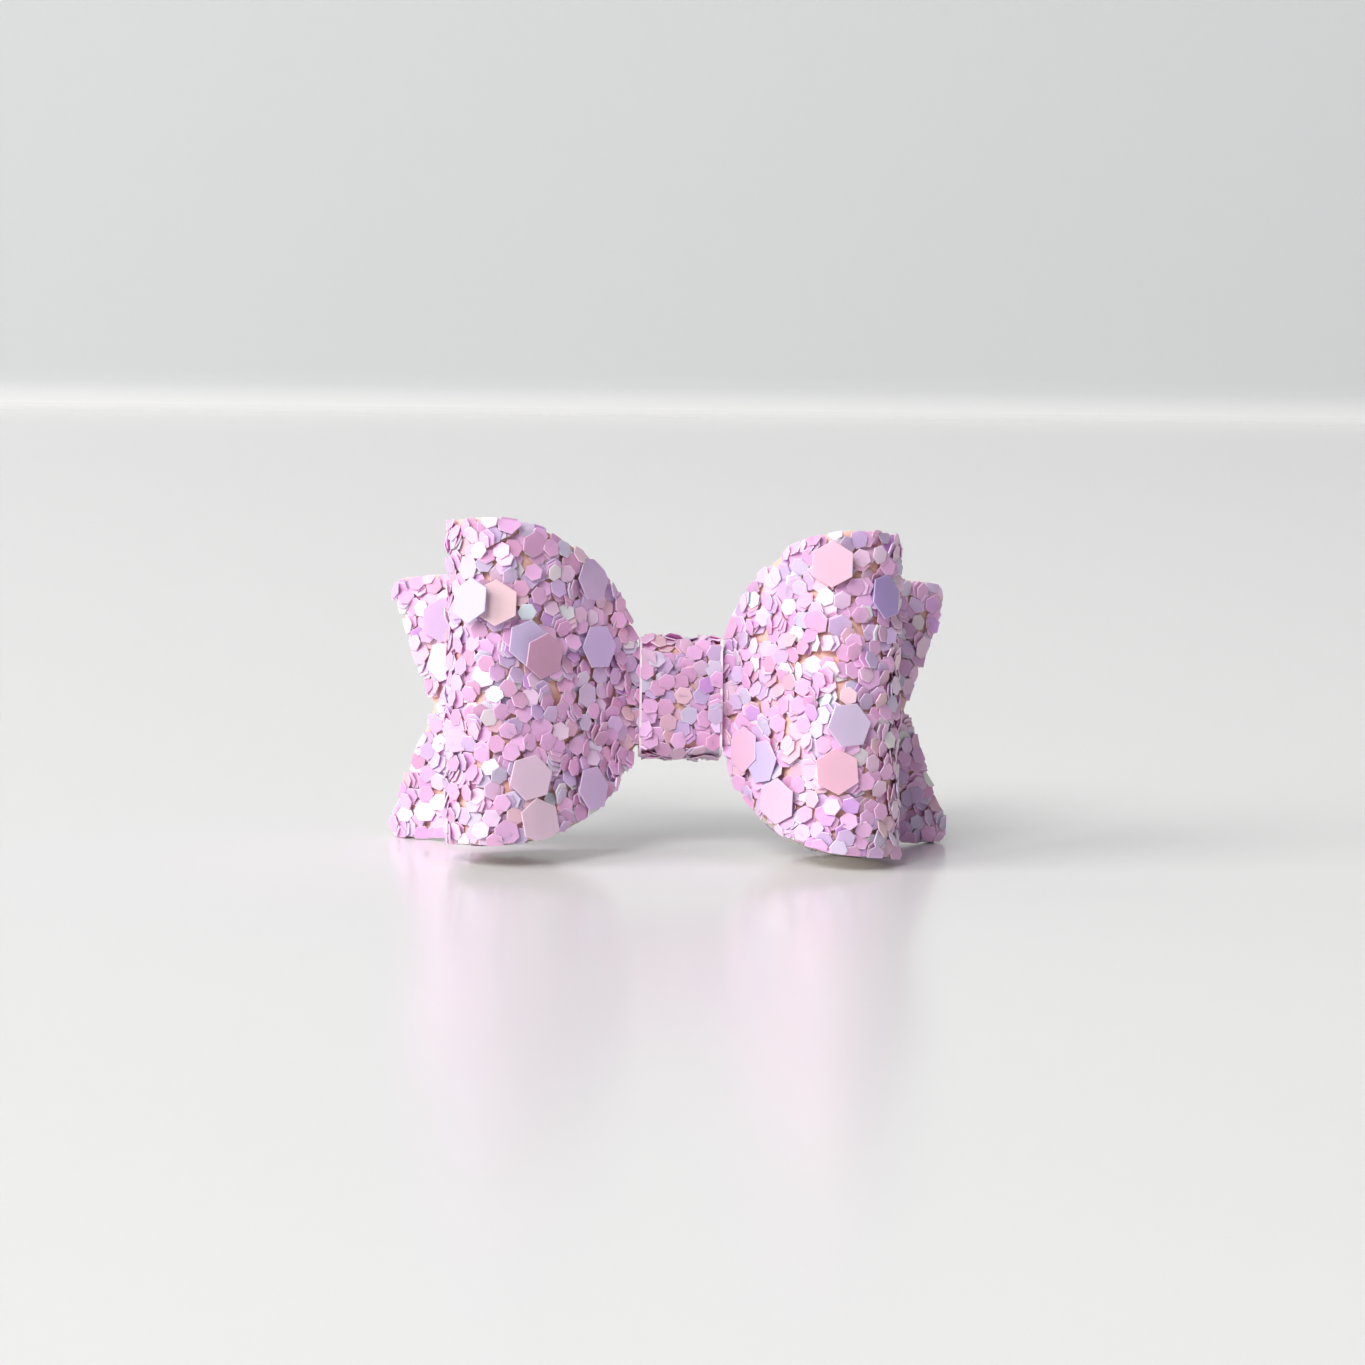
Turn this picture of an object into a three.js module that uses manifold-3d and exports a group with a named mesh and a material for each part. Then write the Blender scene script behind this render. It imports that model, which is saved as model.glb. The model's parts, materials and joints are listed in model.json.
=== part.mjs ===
// Hair bow of glitter canvas on a small alligator clip.
// Millimetres, +Z up, the bow's length along X, its front facing -Y. It stands on the lower edges of its
// loops and tails and leans back, and the origin is the centre of the base of its box.
import * as THREE from 'three';
import { mergeVertices } from 'three/addons/utils/BufferGeometryUtils.js';
import Module from 'manifold-3d';

const wasm = await Module();
wasm.setup();

// ---------- driving dimensions ----------
const LEAN = THREE.MathUtils.degToRad(9);       // the whole bow leans back until its tails touch the table
const CANVAS = 0.8;                             // glitter canvas, backing and flakes together
const LAYER_GAP = 0.3;                          // room for the glue between two layers of canvas
const GLUE = 0.2;                               // pressed hot-melt pad
const WAIST_HALF = 3.75;                        // half the height of both strips at their narrow waist

// The wrap sits a little to the right of the bow's middle, so the left loop and tail are the longer ones.
// Of a side, fullAt is where it reaches its full height, and shoulder the rounded stretch from there inwards.
const LOOP_TOP = 13.0;                          // height of a loop above the middle of the waist
const LOOP_BOTTOM = 12.25;                      // and below it
const LOOP_LEFT = { fullAt: 15.6, shoulder: 12.35, round: 2.2 };
const LOOP_RIGHT = { fullAt: 14.4, shoulder: 11.1, round: 2.3 };
const LOOP_SKEW = Math.tan(THREE.MathUtils.degToRad(1.2)); // the loops sit a little lower to the right

const TAIL_HALF_HEIGHT = 10.6;
const TAIL_LEFT = { reach: 23.2, fullAt: 19.6, shoulder: 17.0, round: 2 };
const TAIL_RIGHT = { reach: 21.7, fullAt: 18.3, shoulder: 15.6, round: 2 };
const TAIL_NOTCH = 3.4;                         // depth of the V in each end
const TAIL_SWEEP = 5.0;                         // how far the tips are bent back
const TAIL_SWEEP_FROM = 12.0;                   // distance from the centre where that bend starts
const TAIL_DROOP = 0.77;                        // how far the tips hang below the middle

const WRAP_WIDTH = 6.5;
const WRAP_CLEARANCE = 0.1;                     // between the waist's edges and the wrap
const WRAP_SEAM = 0.3;                          // gap between its butted ends

const CLIP_WIDTH = 6.0;
const STEEL = 0.5;
const JAW_TIP_X = -16.5;
const LEVER_END_X = 13.5;
const HINGE_X = 5.0;
const HINGE_DEPTH = 0.9;                        // hinge axis behind the fixed jaw's back face
const PIN_R = 0.45;
const PIN_HOLE_R = 0.5;
const RIBBON = 0.3;
const LEVER_SPREAD = THREE.MathUtils.degToRad(30);

// ---------- the stack of layers, from front to back, as the y of each layer's middle ----------
const STEP = CANVAS + LAYER_GAP;
const Y_LOOP_FRONT = -CANVAS / 2;
const Y_LOOP_INNER = Y_LOOP_FRONT + STEP;
const Y_LOOP_OUTER = Y_LOOP_INNER + STEP;
const Y_TAIL = Y_LOOP_OUTER + STEP;
const Y_WRAP_BACK = Y_TAIL + STEP;
const Y_WRAP_FRONT = Y_LOOP_FRONT - STEP;
const CLIP_GLUE = 0.5;
const SKIN_GAP = 0.05;                          // clearance between two pieces that are stuck together
const Y_RIBBON = Y_WRAP_BACK + CANVAS / 2 + SKIN_GAP + CLIP_GLUE + SKIN_GAP;
const Y_JAW = Y_RIBBON + RIBBON + SKIN_GAP;
const Y_JAW_BACK = Y_JAW + STEEL;
const Y_GRIP = Y_JAW_BACK + SKIN_GAP + RIBBON;  // face of the ribbon that the moving jaw closes on
const Y_HINGE = Y_JAW_BACK + HINGE_DEPTH;
const Y_MOVING = Y_HINGE + HINGE_DEPTH;         // inner face of the moving jaw's flat back

// ---------- materials ----------
function finish(colour, roughness, metalness = 0) {
  return new THREE.MeshStandardMaterial({ color: colour, roughness, metalness });
}
const glitterCanvas = () => finish(0xe3b9e0, 0.35);
const hotMelt = () => finish(0xe9e2cf, 0.3);
const ribbon = () => finish(0xeccfe3, 0.8);
const platedSteel = () => finish(0xc9ccd1, 0.3, 1.0);
const springSteel = () => finish(0xb4b7bd, 0.35, 1.0);

// ---------- solids ----------
function toSolid(geometry) {
  geometry.deleteAttribute('normal');
  geometry.deleteAttribute('uv');
  const merged = mergeVertices(geometry, 1e-5);
  return new wasm.Manifold(new wasm.Mesh({
    numProp: 3,
    vertProperties: merged.attributes.position.array,
    triVerts: new Uint32Array(merged.index.array),
  }));
}

function toGeometry(solid) {
  const mesh = solid.getMesh();
  const geometry = new THREE.BufferGeometry();
  geometry.setAttribute('position', new THREE.BufferAttribute(mesh.vertProperties, 3));
  geometry.setIndex(new THREE.BufferAttribute(mesh.triVerts, 1));
  geometry.computeVertexNormals();
  return geometry;
}

// A shape drawn in plan (x, y), extruded along Z from -half to +half.
function inPlan(shape, half, curveSegments = 12) {
  const geometry = new THREE.ExtrudeGeometry(shape, { depth: 2 * half, bevelEnabled: false, curveSegments });
  return geometry.translate(0, 0, -half);
}

// A shape drawn as seen from the front (x, z), extruded along Y from front to back.
function inElevation(shape, front, back) {
  const geometry = new THREE.ExtrudeGeometry(shape, { depth: back - front, bevelEnabled: false });
  return geometry.rotateX(Math.PI / 2).translate(0, back, 0);
}

// The outline of a sheet of the given thickness that follows a path in plan.
function sheetAlong(curve, steps, thickness) {
  const left = [];
  const right = [];
  for (let i = 0; i <= steps; i += 1) {
    const point = curve.getPointAt(i / steps);
    const along = curve.getTangentAt(i / steps);
    const offset = new THREE.Vector2(-along.y, along.x).normalize().multiplyScalar(thickness / 2);
    left.push(new THREE.Vector2(point.x + offset.x, point.y + offset.y));
    right.unshift(new THREE.Vector2(point.x - offset.x, point.y - offset.y));
  }
  return new THREE.Shape([...left, ...right]);
}

// Height of a die-cut strip's edge at a distance from its centre: a waist, then a rounded shoulder.
function edgeHeight(x, full, { fullAt, shoulder, round }) {
  if (x >= fullAt) {
    return full;
  }
  const across = Math.min(1, (fullAt - x) / shoulder);
  return Math.max(WAIST_HALF, full * (1 - across ** round) ** (1 / round));
}

// One quarter of a strip's cut edge, from the waist outwards along the shoulder.
function shoulderLine(full, side, count) {
  const across = (1 - (WAIST_HALF / full) ** side.round) ** (1 / side.round);
  const points = [new THREE.Vector2(side.fullAt - side.shoulder * across, WAIST_HALF)];
  for (let i = 0; i <= count; i += 1) {
    const x = side.fullAt - side.shoulder * Math.cos((i / count) * Math.PI / 2);
    const height = edgeHeight(x, full, side);
    if (height > WAIST_HALF) {
      points.push(new THREE.Vector2(x, height));
    }
  }
  return points;
}

// A whole die-cut strip from its four quarters, each drawn outwards from the waist as if on the upper right.
function stripOutline(rightTop, rightBottom, leftBottom, leftTop) {
  const turned = (quarter, x, y) => quarter
    .filter((p) => y > 0 || p.y > 0)
    .map((p) => new THREE.Vector2(p.x * x, p.y * y));
  return [
    ...turned(rightTop, 1, 1),
    ...turned(rightBottom, 1, -1).reverse(),
    ...turned(leftBottom, -1, -1),
    ...turned(leftTop, -1, 1).reverse(),
  ];
}

// ---------- loop strip ----------
// Its path in plan on each side, from behind the waist round the outer fold to the front of the waist.
const LOOP_LEFT_PATH = [
  [3.6, Y_LOOP_INNER],
  [7.7, 0.65],
  [12.0, 0.25],
  [15.3, -0.9],
  [17.65, -3.4],
  [17.65, -6.7],
  [15.4, -8.7],
  [12.2, -8.3],
  [9.0, -6.1],
  [5.9, -2.8],
  [3.6, Y_LOOP_FRONT - 0.25],
];
const LOOP_RIGHT_PATH = [
  [3.6, Y_LOOP_INNER],
  [7.4, 0.65],
  [11.3, 0.25],
  [14.3, -0.9],
  [16.3, -3.2],
  [16.25, -6.0],
  [14.4, -8.2],
  [11.6, -8.65],
  [8.7, -6.5],
  [5.75, -2.9],
  [3.6, Y_LOOP_FRONT - 0.25],
];
const LAP_HALF = 3.0;                           // each end runs this far past the centre

function loopStrip() {
  const right = ([x, y]) => new THREE.Vector3(x, y, 0);
  const left = ([x, y]) => new THREE.Vector3(-x, y, 0);
  const path = new THREE.CatmullRomCurve3([
    new THREE.Vector3(LAP_HALF, Y_LOOP_INNER, 0),
    new THREE.Vector3(0, Y_LOOP_INNER, 0),
    ...LOOP_LEFT_PATH.map(left),
    new THREE.Vector3(0, Y_LOOP_FRONT, 0),
    ...LOOP_RIGHT_PATH.slice(1).reverse().map(right),
    new THREE.Vector3(LAP_HALF + 0.6, Y_LOOP_OUTER - 0.1, 0),
    new THREE.Vector3(0, Y_LOOP_OUTER, 0),
    new THREE.Vector3(-LAP_HALF, Y_LOOP_OUTER, 0),
  ], false, 'centripetal');
  const band = toSolid(inPlan(sheetAlong(path, 110, CANVAS), LOOP_TOP + 2));
  const quarter = (full, side) => [
    ...shoulderLine(full, side, 16),
    new THREE.Vector2(side.fullAt + 6, full),
  ];
  const outline = stripOutline(
    quarter(LOOP_TOP, LOOP_RIGHT),
    quarter(LOOP_BOTTOM, LOOP_RIGHT),
    quarter(LOOP_BOTTOM, LOOP_LEFT),
    quarter(LOOP_TOP, LOOP_LEFT),
  );
  for (const point of outline) {
    point.y -= LOOP_SKEW * point.x;
  }
  return toGeometry(band.intersect(toSolid(inElevation(new THREE.Shape(outline), -12, 6))));
}

// ---------- tail piece ----------
function tailPiece() {
  const points = [];
  for (let i = -16; i <= 16; i += 1) {
    const { reach } = i < 0 ? TAIL_LEFT : TAIL_RIGHT;
    const x = (i / 16) * (reach + 1);
    const past = Math.max(0, (Math.abs(x) - TAIL_SWEEP_FROM) / (reach - TAIL_SWEEP_FROM));
    points.push(new THREE.Vector3(x, Y_TAIL + TAIL_SWEEP * past ** 1.5, 0));
  }
  const path = new THREE.CatmullRomCurve3(points, false, 'centripetal');
  const band = toSolid(inPlan(sheetAlong(path, 48, CANVAS), TAIL_HALF_HEIGHT + 4));
  const quarter = (side) => [
    ...shoulderLine(TAIL_HALF_HEIGHT, side, 12),
    new THREE.Vector2(side.reach - 0.6, TAIL_HALF_HEIGHT - 0.1),
    new THREE.Vector2(side.reach - 0.1, TAIL_HALF_HEIGHT - 0.5),
    new THREE.Vector2(side.reach, TAIL_HALF_HEIGHT - 1.2),
    new THREE.Vector2(side.reach - TAIL_NOTCH, 0),
  ];
  const [right, left] = [quarter(TAIL_RIGHT), quarter(TAIL_LEFT)];
  const outline = stripOutline(right, right, left, left);
  for (const point of outline) {
    const { reach } = point.x < 0 ? TAIL_LEFT : TAIL_RIGHT;
    const beyondWaist = Math.max(0, Math.abs(point.x) - WRAP_WIDTH / 2);
    point.y -= TAIL_DROOP * beyondWaist / (reach - WRAP_WIDTH / 2);
  }
  return toGeometry(band.intersect(toSolid(inElevation(new THREE.Shape(outline), 0, 14))));
}

// ---------- centre wrap ----------
// Its section in (y, z), drawn here as (x, y): an open ring round the waist with butted ends at the back.
function centreWrap() {
  const front = Y_WRAP_FRONT;
  const back = Y_WRAP_BACK;
  const top = WAIST_HALF + WRAP_CLEARANCE + CANVAS / 2;
  const bend = 1.0;
  const path = new THREE.CurvePath();
  const corner = (x0, y0, cx, cy, x1, y1) => new THREE.QuadraticBezierCurve3(
    new THREE.Vector3(x0, y0, 0),
    new THREE.Vector3(cx, cy, 0),
    new THREE.Vector3(x1, y1, 0),
  );
  const side = (x0, y0, x1, y1) => new THREE.LineCurve3(
    new THREE.Vector3(x0, y0, 0),
    new THREE.Vector3(x1, y1, 0),
  );
  path.add(side(back, WRAP_SEAM / 2, back, top - bend));
  path.add(corner(back, top - bend, back, top, back - bend, top));
  path.add(side(back - bend, top, front + bend, top));
  path.add(corner(front + bend, top, front, top, front, top - bend));
  path.add(side(front, top - bend, front, -top + bend));
  path.add(corner(front, -top + bend, front, -top, front + bend, -top));
  path.add(side(front + bend, -top, back - bend, -top));
  path.add(corner(back - bend, -top, back, -top, back, -top + bend));
  path.add(side(back, -top + bend, back, -WRAP_SEAM / 2));
  const section = inPlan(sheetAlong(path, 72, CANVAS), WRAP_WIDTH / 2);
  const drawnToPart = new THREE.Matrix4().set(0, 0, 1, 0, 1, 0, 0, 0, 0, 1, 0, 0, 0, 0, 0, 1);
  return toGeometry(toSolid(section.applyMatrix4(drawnToPart)));
}

// ---------- hot-melt glue ----------
// A pressed pad of glue with round corners, between y = front and y = front + thick.
function gluePad(width, height, front, thick) {
  const r = Math.min(width, height) * 0.35;
  const shape = new THREE.Shape();
  shape.moveTo(-width / 2 + r, -height / 2);
  shape.lineTo(width / 2 - r, -height / 2);
  shape.absarc(width / 2 - r, -height / 2 + r, r, -Math.PI / 2, 0, false);
  shape.lineTo(width / 2, height / 2 - r);
  shape.absarc(width / 2 - r, height / 2 - r, r, 0, Math.PI / 2, false);
  shape.lineTo(-width / 2 + r, height / 2);
  shape.absarc(-width / 2 + r, height / 2 - r, r, Math.PI / 2, Math.PI, false);
  shape.lineTo(-width / 2, -height / 2 + r);
  shape.absarc(-width / 2 + r, -height / 2 + r, r, Math.PI, Math.PI * 1.5, false);
  return toGeometry(toSolid(inElevation(shape, front, front + thick)));
}

function betweenLayers(layer) {
  return layer + CANVAS / 2 + (LAYER_GAP - GLUE) / 2;
}

// ---------- alligator clip ----------
const EAR_TIP_R = 0.78;                         // round end of a hinge ear
const EAR_ROOT_HALF = 1.7;                      // half its length where it leaves the jaw
const FIXED_EAR_IN = 2.5;
const MOVING_EAR_IN = 1.95;
const EAR_THICK = 0.42;
const LEVER_BEND_X = HINGE_X - HINGE_DEPTH * Math.tan(LEVER_SPREAD / 2);
const LEVER_RISE = (LEVER_END_X - LEVER_BEND_X) * Math.tan(LEVER_SPREAD);
const TOOTH_PITCH = 0.9;
const TOOTH_HEIGHT = 0.3;
const TEETH = 4;
const BITE_GAP = 0.15;                          // between the teeth and the ribbon when the clip is shut

const at = ([x, y]) => new THREE.Vector2(x, y);

// A jaw stamped from a strip of sheet: its front face as points in plan, cut to a round tip.
function stamping(points) {
  const back = points.slice().reverse().map(([x, y]) => [x, y + STEEL]);
  const strip = toSolid(inPlan(new THREE.Shape([...points, ...back].map(at)), CLIP_WIDTH / 2 + 1));
  const half = CLIP_WIDTH / 2;
  const outline = new THREE.Shape();
  outline.moveTo(LEVER_END_X - 1.2, -half);
  outline.lineTo(LEVER_END_X, -half + 1.2);
  outline.lineTo(LEVER_END_X, half - 1.2);
  outline.lineTo(LEVER_END_X - 1.2, half);
  outline.lineTo(JAW_TIP_X + half, half);
  outline.absarc(JAW_TIP_X + half, 0, half, Math.PI / 2, Math.PI * 1.5, false);
  return strip.intersect(toSolid(inElevation(outline, Y_JAW - 2, Y_MOVING + 9)));
}

// Two ears bent out of a jaw at the hinge: from their root on the jaw to a round end on the pin, which has a
// hole through both.
function withEars(solid, root, inner) {
  const tip = root[0][1] < Y_HINGE ? 1 : -1;
  const shape = new THREE.Shape(root.map(at));
  shape.absarc(HINGE_X, Y_HINGE, EAR_TIP_R, 0, Math.PI * tip, tip < 0);
  let eared = solid;
  for (const z of [inner + EAR_THICK / 2, -inner - EAR_THICK / 2]) {
    eared = eared.add(toSolid(inPlan(shape, EAR_THICK / 2).translate(0, 0, z)));
  }
  const bore = new THREE.CylinderGeometry(PIN_HOLE_R, PIN_HOLE_R, CLIP_WIDTH + 2, 24);
  bore.rotateX(Math.PI / 2).translate(HINGE_X, Y_HINGE, 0);
  return toGeometry(eared.subtract(toSolid(bore)));
}

function fixedJaw() {
  const strip = stamping([
    [JAW_TIP_X, Y_JAW],
    [HINGE_X + 4.5, Y_JAW],
    [LEVER_END_X, Y_JAW - 0.7],
  ]);
  const rootY = Y_JAW_BACK - STEEL / 2;
  return withEars(strip, [[HINGE_X - EAR_ROOT_HALF, rootY], [HINGE_X + EAR_ROOT_HALF, rootY]], FIXED_EAR_IN);
}

function movingJaw() {
  const bite = Y_GRIP + BITE_GAP;
  const teeth = [];
  for (let i = 0; i < TEETH; i += 1) {
    const x = JAW_TIP_X + 0.2 + i * TOOTH_PITCH;
    teeth.push([x, bite], [x + TOOTH_PITCH / 2, bite + TOOTH_HEIGHT]);
  }
  const strip = stamping([
    ...teeth,
    [JAW_TIP_X + 0.2 + TEETH * TOOTH_PITCH, bite + TOOTH_HEIGHT],
    [JAW_TIP_X + 7.5, Y_MOVING],
    [LEVER_BEND_X, Y_MOVING],
    [LEVER_END_X, Y_MOVING + LEVER_RISE],
  ]);
  const slope = (EAR_ROOT_HALF + HINGE_X - LEVER_BEND_X) * Math.tan(LEVER_SPREAD);
  const rootY = Y_MOVING + STEEL / 2;
  const root = [
    [HINGE_X - EAR_ROOT_HALF, rootY],
    [LEVER_BEND_X, rootY],
    [HINGE_X + EAR_ROOT_HALF, rootY + slope],
  ];
  return withEars(strip, root, MOVING_EAR_IN);
}

function hingePin() {
  const headR = 0.8;
  const shoulderZ = CLIP_WIDTH / 2 + 0.05;
  const endZ = shoulderZ + 0.35;
  const profile = [
    [0, -endZ],
    [headR * 0.7, -endZ],
    [headR, -shoulderZ - 0.15],
    [headR, -shoulderZ],
    [PIN_R, -shoulderZ],
    [PIN_R, shoulderZ],
    [headR, shoulderZ],
    [headR, shoulderZ + 0.15],
    [headR * 0.7, endZ],
    [0, endZ],
  ];
  const pin = new THREE.LatheGeometry(profile.map(at), 24);
  return toGeometry(toSolid(pin.rotateX(Math.PI / 2).translate(HINGE_X, Y_HINGE, 0)));
}

// Torsion spring: a leg along the fixed lever, the coil round the pin, and a leg along the moving lever.
function jawSpring() {
  const wireR = 0.14;
  const coilR = 0.69;
  const turns = 4 + 150 / 360;
  const pitch = 0.38;
  const pointsPerTurn = 12;
  const firstZ = -turns * pitch / 2;
  const route = [new THREE.Vector3(LEVER_END_X - 3.2, Y_HINGE - coilR, firstZ)];
  for (let i = 0; i <= turns * pointsPerTurn; i += 1) {
    const turned = i / pointsPerTurn;
    const angle = -Math.PI / 2 - turned * 2 * Math.PI;
    route.push(new THREE.Vector3(
      HINGE_X + coilR * Math.cos(angle),
      Y_HINGE + coilR * Math.sin(angle),
      firstZ + turned * pitch,
    ));
  }
  const last = route[route.length - 1];
  const leg = new THREE.Vector3(Math.cos(LEVER_SPREAD), Math.sin(LEVER_SPREAD), 0).multiplyScalar(6.4);
  route.push(last.clone().add(leg));
  const path = new THREE.CatmullRomCurve3(route, false, 'centripetal');
  const section = new THREE.Shape();
  section.absarc(0, 0, wireR, 0, Math.PI * 2, false);
  const wire = { steps: 96, curveSegments: 3, bevelEnabled: false, extrudePath: path };
  return toGeometry(toSolid(new THREE.ExtrudeGeometry(section, wire)));
}

// Grosgrain ribbon folded round the fixed jaw's tip: along its front to the hinge, and back inside the bite.
function jawLining() {
  const front = Y_RIBBON;
  const tip = JAW_TIP_X - SKIN_GAP;
  const shape = new THREE.Shape([
    [HINGE_X + 3, front],
    [HINGE_X + 3, front + RIBBON],
    [tip, front + RIBBON],
    [tip, Y_GRIP - RIBBON],
    [HINGE_X - 2.2, Y_GRIP - RIBBON],
    [HINGE_X - 2.2, Y_GRIP],
    [tip - RIBBON + 0.15, Y_GRIP],
    [tip - RIBBON, Y_GRIP - 0.15],
    [tip - RIBBON, front + 0.15],
    [tip - RIBBON + 0.15, front],
  ].map(at));
  return toGeometry(toSolid(inPlan(shape, CLIP_WIDTH / 2 - 0.3)));
}

// ---------- assembly ----------
function node(name, geometry, material) {
  const mesh = new THREE.Mesh(geometry, material);
  mesh.name = name;
  return mesh;
}

const bow = new THREE.Group();
bow.rotation.x = -LEAN;
bow.add(
  node('loop_strip', loopStrip(), glitterCanvas()),
  node('tail_piece', tailPiece(), glitterCanvas()),
  node('centre_wrap', centreWrap(), glitterCanvas()),
  node('waist_glue', gluePad(5.6, 6.2, betweenLayers(Y_LOOP_FRONT), GLUE), hotMelt()),
  node('lap_glue', gluePad(5.2, 6.2, betweenLayers(Y_LOOP_INNER), GLUE), hotMelt()),
  node('tail_glue', gluePad(5.6, 6.2, betweenLayers(Y_LOOP_OUTER), GLUE), hotMelt()),
  node('wrap_glue', gluePad(5.4, 5.4, betweenLayers(Y_TAIL), GLUE), hotMelt()),
  node('clip_glue', gluePad(6.2, 4.8, Y_WRAP_BACK + CANVAS / 2 + SKIN_GAP, CLIP_GLUE), hotMelt()),
  node('jaw_lining', jawLining(), ribbon()),
  node('fixed_jaw', fixedJaw(), platedSteel()),
  node('moving_jaw', movingJaw(), platedSteel()),
  node('hinge_pin', hingePin(), platedSteel()),
  node('jaw_spring', jawSpring(), springSteel()),
);

const part = new THREE.Group();
part.add(bow);
part.updateMatrixWorld(true);
const box = new THREE.Box3().setFromObject(bow, true);
const middle = box.getCenter(new THREE.Vector3());
bow.position.set(-middle.x, -middle.y, -box.min.z);

export default part;
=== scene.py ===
import json
import math

import bmesh
import bpy
import numpy as np
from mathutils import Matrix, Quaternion, Vector


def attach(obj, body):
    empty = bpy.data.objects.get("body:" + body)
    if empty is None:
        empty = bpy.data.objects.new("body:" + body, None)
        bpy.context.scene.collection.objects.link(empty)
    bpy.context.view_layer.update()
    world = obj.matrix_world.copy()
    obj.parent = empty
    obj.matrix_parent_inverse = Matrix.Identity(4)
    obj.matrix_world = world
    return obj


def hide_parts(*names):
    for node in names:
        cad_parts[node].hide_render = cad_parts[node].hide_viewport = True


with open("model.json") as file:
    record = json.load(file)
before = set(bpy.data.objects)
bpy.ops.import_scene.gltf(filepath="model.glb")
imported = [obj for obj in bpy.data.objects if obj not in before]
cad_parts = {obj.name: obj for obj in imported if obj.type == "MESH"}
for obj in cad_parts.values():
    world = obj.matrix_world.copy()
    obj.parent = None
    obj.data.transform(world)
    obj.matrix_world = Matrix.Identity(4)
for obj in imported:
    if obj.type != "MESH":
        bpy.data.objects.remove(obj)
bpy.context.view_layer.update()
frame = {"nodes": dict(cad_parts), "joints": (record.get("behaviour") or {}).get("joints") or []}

# ---------- the bow's stance and the camera ----------
# The bow is made upright and then leans back on the table until its tails touch. The hinge of the clip is
# square to it, so the joint gives the lean and the place. The camera looks at the wrap from a little above.
PIN_BEHIND = (5.0, 6.75)
hinge = frame["joints"][0]
bow_up = -np.array(hinge["axis"])
bow_right = np.array([1.0, 0.0, 0.0])
bow_back = np.cross(bow_up, bow_right)
bow_axes = np.array([bow_right, bow_back, bow_up])
bow_middle = np.array(hinge["pos_m"]) - 0.001 * np.array([*PIN_BEHIND, 0.0]) @ bow_axes


def on_table(points):
    """Points of the upright bow, in millimetres from the middle of its waist, as metres on the table."""
    return bow_middle + 0.001 * np.asarray(points, float) @ bow_axes


WRAP_FACE = (0.0, -1.9, 0.0)
CAMERA_DISTANCE = 0.312
CAMERA_RISE = math.radians(6.2)
CAMERA_ROUND = math.radians(-1.5)
CAMERA_ROLL = math.radians(0.75)
AIM_ABOVE_WRAP = 0.00107

camera_data = bpy.data.cameras.new("camera")
camera_data.sensor_width = 36
camera_data.lens = 103.7
camera_data.clip_start = 0.01
camera = bpy.data.objects.new("camera", camera_data)
bpy.context.scene.collection.objects.link(camera)
bpy.context.scene.camera = camera
towards_camera = Vector((
    math.sin(CAMERA_ROUND) * math.cos(CAMERA_RISE),
    -math.cos(CAMERA_ROUND) * math.cos(CAMERA_RISE),
    math.sin(CAMERA_RISE),
))
aim = Vector(on_table(WRAP_FACE)) + Vector((0.0001, 0, AIM_ABOVE_WRAP))
camera.location = aim + CAMERA_DISTANCE * towards_camera
camera.rotation_mode = "QUATERNION"
camera.rotation_quaternion = (-towards_camera).to_track_quat("-Z", "Y") @ Quaternion((0, 0, 1), CAMERA_ROLL)

# ---------- table, wall and light ----------
# A satin white table in front of a plain pale wall, which it meets in a small cove. A large soft window of
# light stands at the left and a smaller one at the front left, with a weak even fill.
WALL_AT = 0.86
WALL_HIGH = 1.6
COVE = 0.012
TABLE_HALF = 2.5
TABLE_WHITE = (231, 231, 230)
WALL_GREY = (203, 204, 205)
PAINTED_FROM = 0.009


def piece_from(name, points, faces, finish):
    """A mesh object of points in metres, given to the scene with its finish."""
    mesh = bpy.data.meshes.new(name)
    mesh.from_pydata(np.asarray(points, float).tolist(), [], faces)
    mesh.materials.append(finish)
    made = bpy.data.objects.new(name, mesh)
    bpy.context.scene.collection.objects.link(made)
    return made


def start_finish(name, colour, roughness):
    """A new finish with its colour and roughness, and its nodes, links and shader to work on."""
    finish = bpy.data.materials.new(name)
    finish.use_nodes = True
    tree = finish.node_tree
    shader = tree.nodes["Principled BSDF"]
    shader.inputs["Base Color"].default_value = (*colour, 1)
    shader.inputs["Roughness"].default_value = roughness
    return finish, tree.nodes, tree.links, shader


def smooth(piece):
    """Shades a piece as curved rather than faceted."""
    for face in piece.data.polygons:
        face.use_smooth = True


def shade(red, green, blue):
    """A colour as given, from 0 to 255, in the linear values that a shader takes."""
    return tuple(((c / 255 + 0.055) / 1.055) ** 2.4 for c in (red, green, blue))


def between(nodes, links, shader, share, first, last):
    """Mixes a finish's colour from two shades."""
    tone = nodes.new("ShaderNodeMix")
    tone.data_type = "RGBA"
    tone.inputs["A"].default_value = (*shade(*first), 1)
    tone.inputs["B"].default_value = (*shade(*last), 1)
    links.new(share, tone.inputs["Factor"])
    links.new(tone.outputs["Result"], shader.inputs["Base Color"])


table_finish, nodes, links, shader = start_finish("table_and_wall", shade(*TABLE_WHITE), 0.2)
shader.inputs["Specular IOR Level"].default_value = 0.35
where = nodes.new("ShaderNodeTexCoord")
height = nodes.new("ShaderNodeSeparateXYZ")
up_wall = nodes.new("ShaderNodeMapRange")
up_wall.interpolation_type = "SMOOTHSTEP"
up_wall.inputs["From Max"].default_value = PAINTED_FROM
links.new(where.outputs["Object"], height.inputs["Vector"])
links.new(height.outputs["Z"], up_wall.inputs["Value"])
between(nodes, links, shader, up_wall.outputs["Result"], TABLE_WHITE, WALL_GREY)
satin = nodes.new("ShaderNodeMapRange")
satin.inputs["To Min"].default_value = 0.2
satin.inputs["To Max"].default_value = 0.9
links.new(up_wall.outputs["Result"], satin.inputs["Value"])
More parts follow.
